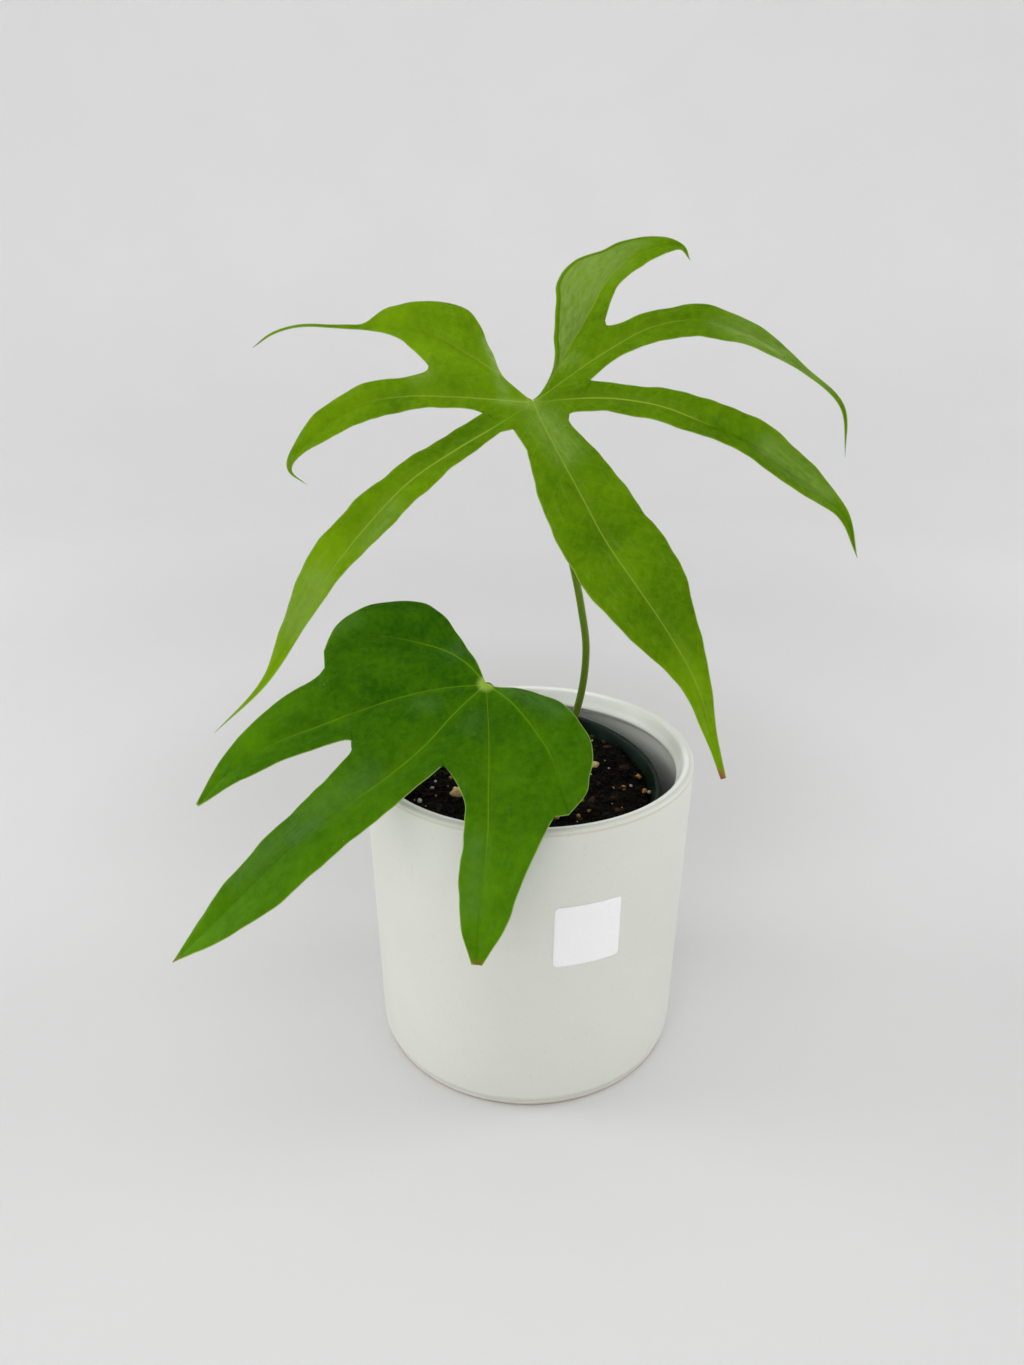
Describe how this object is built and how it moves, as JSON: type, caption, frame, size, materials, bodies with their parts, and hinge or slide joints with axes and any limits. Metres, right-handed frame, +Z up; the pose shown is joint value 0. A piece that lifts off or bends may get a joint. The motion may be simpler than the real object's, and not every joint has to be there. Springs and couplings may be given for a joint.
{
  "type": "potted anthurium pedatoradiatum",
  "caption": "Young potted aroid with large lobed, drip-tipped leaves on slender stalks, in a plastic nursery pot inside a plain white ceramic cachepot.",
  "frame": {"origin": "centre of the cachepot's flat underside", "axes": "+Z up along the pot's axis; -Y towards the front, where the lower leaf hangs over the rim; +X to the right seen from the front"},
  "size_m": [0.2057, 0.154, 0.2895],
  "materials": {
    "ceramic": "satin warm-white glaze",
    "nursery_plastic": "dark green moulded plastic",
    "potting_mix": "damp bark and peat with perlite",
    "stem": "ringed green-brown stem with a papery sheath",
    "petiole": "smooth round leaf stalk",
    "fresh_leaf": "satin fresh green leaf with pale ribs",
    "dark_leaf": "satin dark green leaf with yellow-green ribs",
    "label_paper": "plain white sticker"
  },
  "bodies": {
    "root": {"cachepot": "ceramic", "nursery_pot": "nursery_plastic", "potting_mix": "potting_mix", "stem_crown": "stem", "petiole_upper": "petiole", "petiole_lower": "petiole", "leaf_upper": "fresh_leaf", "leaf_lower": "dark_leaf", "blank_label": "label_paper"}
  },
  "joints": []
}
